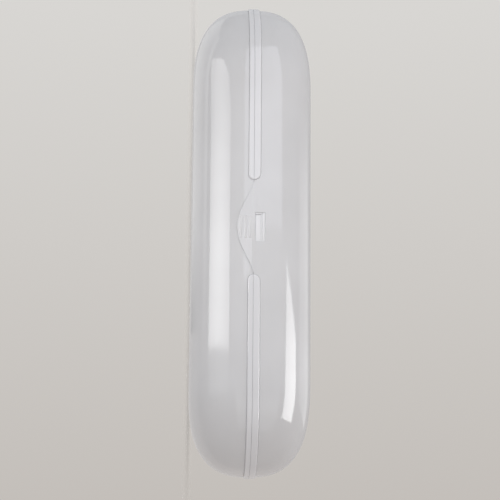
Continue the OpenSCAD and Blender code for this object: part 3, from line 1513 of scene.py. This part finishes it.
# The cards whose reflections the photograph shows, named for where they hang
CARDS = (
    StudioCard(
        name="card_below",
        angle=-62,
        corners=(
            (200, -280), (22, -280), (-180, -285), (-500, -420), (-465, 65),
            (-235, 300), (-225, 345), (22, 370), (200, 370),
        ),
        strength=6.3,
        along=((-220, 0.56), (-80, 1.0), (21, 1.0), (23, 0.2), (140, 0.2), (200, 0.07)),
        over=((-254, 0.6), (-140, 0.82), (30, 1.0), (160, 0.9), (306, 0.65)),
    ),
    StudioCard(
        name="card_front",
        angle=27,
        corners=((-45, -385), (-45, -318), (-88, -300), (-88, 225), (-330, 200), (-930, 230), (-930, -385)),
        strength=2.2,
        colour="#F4F6FF",
    ),
    StudioCard(
        name="card_above",
        angle=82,
        corners=(
            (-65, -237), (-41, -141), (-23, -58), (-5, 37), (13, 104), (390, 98),
            (480, -250), (215, -275), (49, -262), (13, -246), (-23, -234),
        ),
        strength=7.6,
        along=((-50, 0.62), (60, 1.0)),
        over=((-250, 0.85), (-60, 1.0), (100, 0.85)),
    ),
    StudioCard(
        name="card_behind",
        angle=130,
        corners=((-220, -290), (-220, 130), (190, 160), (190, -250)),
        strength=1.0,
        along=((-210, 0.43), (-100, 1.0)),
    ),
    StudioCard(
        name="card_under",
        angle=-130,
        corners=((-900, -346), (-900, 346), (5, 346), (5, -346)),
        strength=1.3,
        along=((-114, 1.0), (5, 0.4)),
        over=((-267, 0.7), (-127, 0.77), (21, 0.8), (172, 0.56), (280, 1.0)),
    ),
    StudioCard(
        name="card_end",
        angle=14,
        corners=((100, -340), (100, 340), (950, 340), (950, -340)),
        strength=1.4,
        along=((100, 0.31), (330, 1.0), (600, 0.7)),
    ),
)


@dataclass
class Studio:
    """The camera, the pale floor, the soft light and the cards, with lengths in millimetres.

    The floor covers the backdrop by floor_cover near the case and fades out between two distances
    from the long axis. The bands of the room are directions, from -1 to 1 along an axis.
    """

    camera_place: Vector = field(default_factory=lambda: Vector((47.0, -343.38, 6.89)))
    camera_target: Vector = field(default_factory=lambda: Vector((7.39, -31.575, 18.96)))
    camera_roll: float = 0.472
    camera_angle: float = 27.92
    camera_near: float = 10.0
    # The floor's colour carries a painted light falloff, from the lit colour at -X to the shaded one at +X
    floor_lit: str = "#DAD7D3"
    floor_shaded: str = "#C9C6C2"
    floor_turn: float = 80.0
    floor_size: float = 4000.0
    floor_under: float = 0.05
    floor_from: float = 45.0
    floor_to: float = 90.0
    floor_cover: float = 0.32
    # The backdrop's colour carries a painted light falloff, from the lit colour to the shaded one
    backdrop_lit: str = "#D8D6D3"
    backdrop_shaded: str = "#C2BDB8"
    backdrop_turn: Flat = (-0.35, 0.15)
    soft_level: float = 0.875
    soft_tilt: tuple[float, float, float] = (-0.16, 0.34, 0.25)
    room_level: float = 0.43
    wall_extra: float = 0.2
    wall_edge: Flat = (0.56, 0.64)
    wall_fade: Flat = (-0.1, 0.3)
    cool_tint: str = "#FCFDFF"
    warm_tint: str = "#FFF9F5"
    tint_turn: float = 0.6
    lamp_place: Vector = field(default_factory=lambda: Vector((-11.0, -166.0, -37.0)))
    lamp_watts: float = 0.077
    lamp_size: float = 80.0

    def add_camera(self) -> None:
        """Stands the camera on its side in front of the opening edge, as the photograph was taken."""
        deselect()
        bpy.ops.object.camera_add()
        camera = bpy.context.object
        camera.name = "camera"
        camera.data.angle = math.radians(self.camera_angle)
        look = (self.camera_target - self.camera_place).normalized()
        right = look.cross(Vector((-1, 0, 0))).normalized()
        up = right.cross(look)
        roll = math.radians(self.camera_roll)
        rolled_right = right * math.cos(roll) + up * math.sin(roll)
        rolled_up = up * math.cos(roll) - right * math.sin(roll)
        turn = Matrix((rolled_right, rolled_up, -look)).transposed().to_4x4()
        camera.matrix_world = Matrix.Translation(self.camera_place * METRES_PER_MM) @ turn
        camera.data.clip_start = self.camera_near * METRES_PER_MM
        bpy.context.scene.camera = camera

    def add_floor(self) -> None:
        """Lays the pale floor, which keeps the case's shadow and fades into the backdrop."""
        deselect()
        bpy.ops.mesh.primitive_plane_add(
            size=self.floor_size * METRES_PER_MM, location=(0, 0, -self.floor_under * METRES_PER_MM)
        )
        floor = name_piece("floor")
        bpy.ops.object.transform_apply(location=True, rotation=False, scale=False)
        material, tree = new_material("matt_card")
        place = add_node(tree, "ShaderNodeTexCoord").outputs["Object"]
        parts = add_node(tree, "ShaderNodeSeparateXYZ", {"Vector": place})
        colour = self.floor_colour(tree, parts.outputs["X"])
        fade = self.floor_fade(tree, parts)
        ray = add_node(tree, "ShaderNodeLightPath")
        matt = add_node(tree, "ShaderNodeBsdfDiffuse", {"Color": colour})
        clear = add_node(tree, "ShaderNodeBsdfTransparent")
        faded = add_node(
            tree, "ShaderNodeMixShader", {0: fade, 1: matt.outputs["BSDF"], 2: clear.outputs["BSDF"]}
        )
        seen = add_node(
            tree,
            "ShaderNodeMixShader",
            {0: ray.outputs["Is Camera Ray"], 1: clear.outputs["BSDF"], 2: faded.outputs["Shader"]},
        )
        add_node(tree, "ShaderNodeOutputMaterial", {"Surface": seen.outputs["Shader"]})
        floor.data.materials.append(material)

    def floor_colour(self, tree: bpy.types.NodeTree, x: bpy.types.NodeSocket) -> bpy.types.NodeSocket:
        """Makes the card's colour, with painted shade that darkens it towards +X as the backdrop does.

        Args:
            tree: The floor's node tree.
            x: The socket that gives the place's X.

        Returns:
            The socket that gives the colour.
        """
        reach = self.floor_turn * METRES_PER_MM
        down = add_node(tree, "ShaderNodeMapRange", {"Value": x, "From Min": -reach, "From Max": reach})
        colour = add_node(tree, "ShaderNodeValToRGB", {"Fac": down.outputs["Result"]})
        set_ramp(colour, [(0.0, linear(self.floor_lit)), (1.0, linear(self.floor_shaded))])
        return colour.outputs["Color"]

    def floor_fade(self, tree: bpy.types.NodeTree, parts: bpy.types.Node) -> bpy.types.NodeSocket:
        """Makes the share of the backdrop that is seen through the floor at a place.

        Args:
            tree: The floor's node tree.
            parts: The node that gives the place's X and Y.

        Returns:
            The socket that gives the share.
        """
        straight = SIZES.straight * METRES_PER_MM
        along = add_node(tree, "ShaderNodeMath", {0: parts.outputs["X"]}, operation="ABSOLUTE")
        beyond = add_node(
            tree, "ShaderNodeMath", {0: along.outputs["Value"], 1: straight}, operation="SUBTRACT"
        )
        beyond = add_node(tree, "ShaderNodeMath", {0: beyond.outputs["Value"], 1: 0.0}, operation="MAXIMUM")
        flat = add_node(
            tree, "ShaderNodeCombineXYZ", {"X": beyond.outputs["Value"], "Y": parts.outputs["Y"]}
        )
        away = add_node(tree, "ShaderNodeVectorMath", {0: flat.outputs["Vector"]}, operation="LENGTH")
        fade = add_node(
            tree,
            "ShaderNodeMapRange",
            {
                "Value": away.outputs["Value"],
                "From Min": self.floor_from * METRES_PER_MM,
                "From Max": self.floor_to * METRES_PER_MM,
                "To Min": 1 - self.floor_cover,
                "To Max": 1.0,
            },
            interpolation_type="SMOOTHSTEP",
        )
        return fade.outputs["Result"]

    def add_world(self) -> None:
        """Makes the world: a pale backdrop with a painted light falloff, soft light from all round and a
        grey room in the gloss.
        """
        world = bpy.data.worlds.new("studio")
        bpy.context.scene.world = world
        world.use_nodes = True
        tree = world.node_tree
        tree.nodes.clear()
        way = add_node(tree, "ShaderNodeTexCoord").outputs["Generated"]
        parts = add_node(tree, "ShaderNodeSeparateXYZ", {"Vector": way})
        ray = add_node(tree, "ShaderNodeLightPath")
        # Painted shade: the backdrop's colour darkens a little towards the picture's lower edge, which is
        # +X
        start, end = self.backdrop_turn
        down = add_node(
            tree, "ShaderNodeMapRange", {"Value": parts.outputs["X"], "From Min": start, "From Max": end}
        )
        backdrop = add_node(tree, "ShaderNodeValToRGB", {"Fac": down.outputs["Result"]})
        set_ramp(backdrop, [(0.0, linear(self.backdrop_lit)), (1.0, linear(self.backdrop_shaded))])
        # Soft light from all round, a little weaker from below and from the +X end
        tilt = add_node(
            tree, "ShaderNodeVectorMath", {0: way, 1: self.soft_tilt}, operation="DOT_PRODUCT"
        )
        soft = add_node(
            tree, "ShaderNodeMath", {0: tilt.outputs["Value"], 1: self.soft_level}, operation="ADD"
        )
        gloss = self.room_in_gloss(tree, parts)
        level = add_node(
            tree,
            "ShaderNodeMix",
            {"Factor": ray.outputs["Is Glossy Ray"], "A": soft.outputs["Value"], "B": gloss},
            data_type="FLOAT",
        )
        # The light is a little cooler at the picture's top and warmer at its lower edge
        side = add_node(
            tree,
            "ShaderNodeMapRange",
            {"Value": parts.outputs["X"], "From Min": -self.tint_turn, "From Max": self.tint_turn},
        )
        tint = add_node(
            tree,
            "ShaderNodeMix",
            {"Factor": side.outputs["Result"], 6: linear(self.cool_tint), 7: linear(self.warm_tint)},
            data_type="RGBA",
        )
        room = add_node(
            tree, "ShaderNodeBackground", {"Color": tint.outputs[2], "Strength": level.outputs["Result"]}
        )
        wall = add_node(tree, "ShaderNodeBackground", {"Color": backdrop.outputs["Color"], "Strength": 1.0})
        seen = add_node(
            tree,
            "ShaderNodeMixShader",
            {0: ray.outputs["Is Camera Ray"], 1: room.outputs["Background"], 2: wall.outputs["Background"]},
        )
        add_node(tree, "ShaderNodeOutputWorld", {"Surface": seen.outputs["Shader"]})

    def room_in_gloss(self, tree: bpy.types.NodeTree, parts: bpy.types.Node) -> bpy.types.NodeSocket:
        """Makes the grey level of the room, with a paler wall behind the case and below it.

        Args:
            tree: The world's node tree.
            parts: The node that gives the direction's X, Y and Z.

        Returns:
            The socket that gives the level.
        """
        start, end = self.wall_edge
        behind = add_node(
            tree,
            "ShaderNodeMapRange",
            {
                "Value": parts.outputs["Y"],
                "From Min": start,
                "From Max": end,
                "To Min": 0.0,
                "To Max": self.wall_extra,
            },
        )
        start, end = self.wall_fade
        below = add_node(
            tree,
            "ShaderNodeMapRange",
            {
                "Value": parts.outputs["Z"],
                "From Min": start,
                "From Max": end,
                "To Min": 1.0,
                "To Max": 0.0,
            },
        )
        paler = add_node(
            tree,
            "ShaderNodeMath",
            {0: behind.outputs["Result"], 1: below.outputs["Result"]},
            operation="MULTIPLY",
        )
        gloss = add_node(
            tree, "ShaderNodeMath", {0: paler.outputs["Value"], 1: self.room_level}, operation="ADD"
        )
        return gloss.outputs["Value"]

    def add_lamp(self) -> None:
        """Stands a small soft lamp close in front of the opening edge."""
        deselect()
        place = STAND + self.lamp_place * METRES_PER_MM
        bpy.ops.object.light_add(type="AREA", location=place)
        lamp = bpy.context.object
        lamp.name = "front_lamp"
        lamp.rotation_euler = (-self.lamp_place).to_track_quat("-Z", "Y").to_euler()
        lamp.data.shape = "DISK"
        lamp.data.size = self.lamp_size * METRES_PER_MM
        lamp.data.energy = self.lamp_watts
        lamp.visible_camera = False
        lamp.visible_glossy = False

    def build(self) -> None:
        """Sets up the whole studio, with the cards whose reflections the photograph shows."""
        self.add_camera()
        self.add_floor()
        self.add_world()
        self.add_lamp()
        for card in CARDS:
            card.build()


def main() -> None:
    """Builds the studio and every piece of the case, in order."""
    logging.basicConfig(level=logging.INFO, format="%(message)s")
    bpy.context.scene.view_settings.view_transform = "Standard"
    Studio().build()

    shell_plastic = MilkyPlastic("milky_styrene_shell").make()
    rim_plastic = MilkyPlastic(
        "milky_styrene_rim", colour="#DDDDE0", cloud="#D9D9DC", roughness=0.1
    ).make()
    catch_plastic = MilkyPlastic(
        "milky_styrene_catch", colour="#E8E8EA", cloud="#E4E4E7", roughness=0.12
    ).make()
    flock = FlockedFoam().make()
    steel = DrawnSteel().make()

    tab = ThumbTab()
    catch = SnapCatch(catch_plastic)
    for half in Half:
        ShellHalf(half, shell_plastic).build(tab, catch)
        RimFrame(half, rim_plastic).build(catch)
        LiningTray(half, flock).build()
    catch.build_keeper()
    catch.build_hook()
    HingePins(steel).build()
    deselect()


if __name__ == "__main__":
    main()
